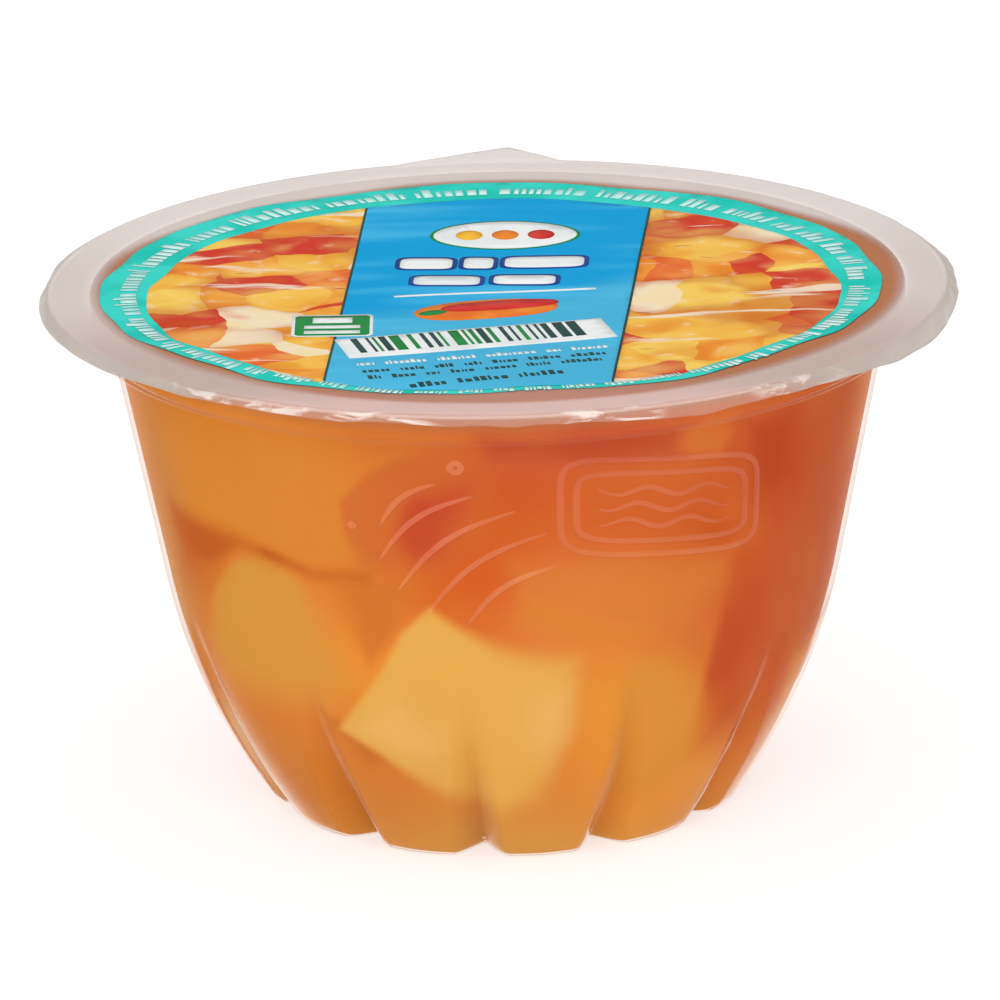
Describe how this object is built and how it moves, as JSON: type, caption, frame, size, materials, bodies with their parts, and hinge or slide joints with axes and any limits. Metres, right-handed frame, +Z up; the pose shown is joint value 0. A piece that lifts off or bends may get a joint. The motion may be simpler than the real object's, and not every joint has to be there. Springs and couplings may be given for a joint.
{
  "type": "sealed fruit cup",
  "caption": "Single-serve clear plastic fruit cup with a fluted foot, a peel film sealed on its flange, and cut mango and papaya in juice.",
  "frame": {"origin": "middle of the cup's flat base, on the ground", "axes": "+Z up through the lid, +Y from the front, where the fruit shows, to the peel tab at the back, +X to the right as seen from the front"},
  "size_m": [0.08, 0.0847, 0.0459],
  "materials": {
    "cup_plastic": "clear, very slightly milky, moulded",
    "lid_film": "clear peel film, printed in the middle",
    "fruit": "wet cut mango and papaya"
  },
  "bodies": {
    "root": {"cup": "cup_plastic", "lid_film": "lid_film", "fruit": "fruit"}
  },
  "joints": []
}
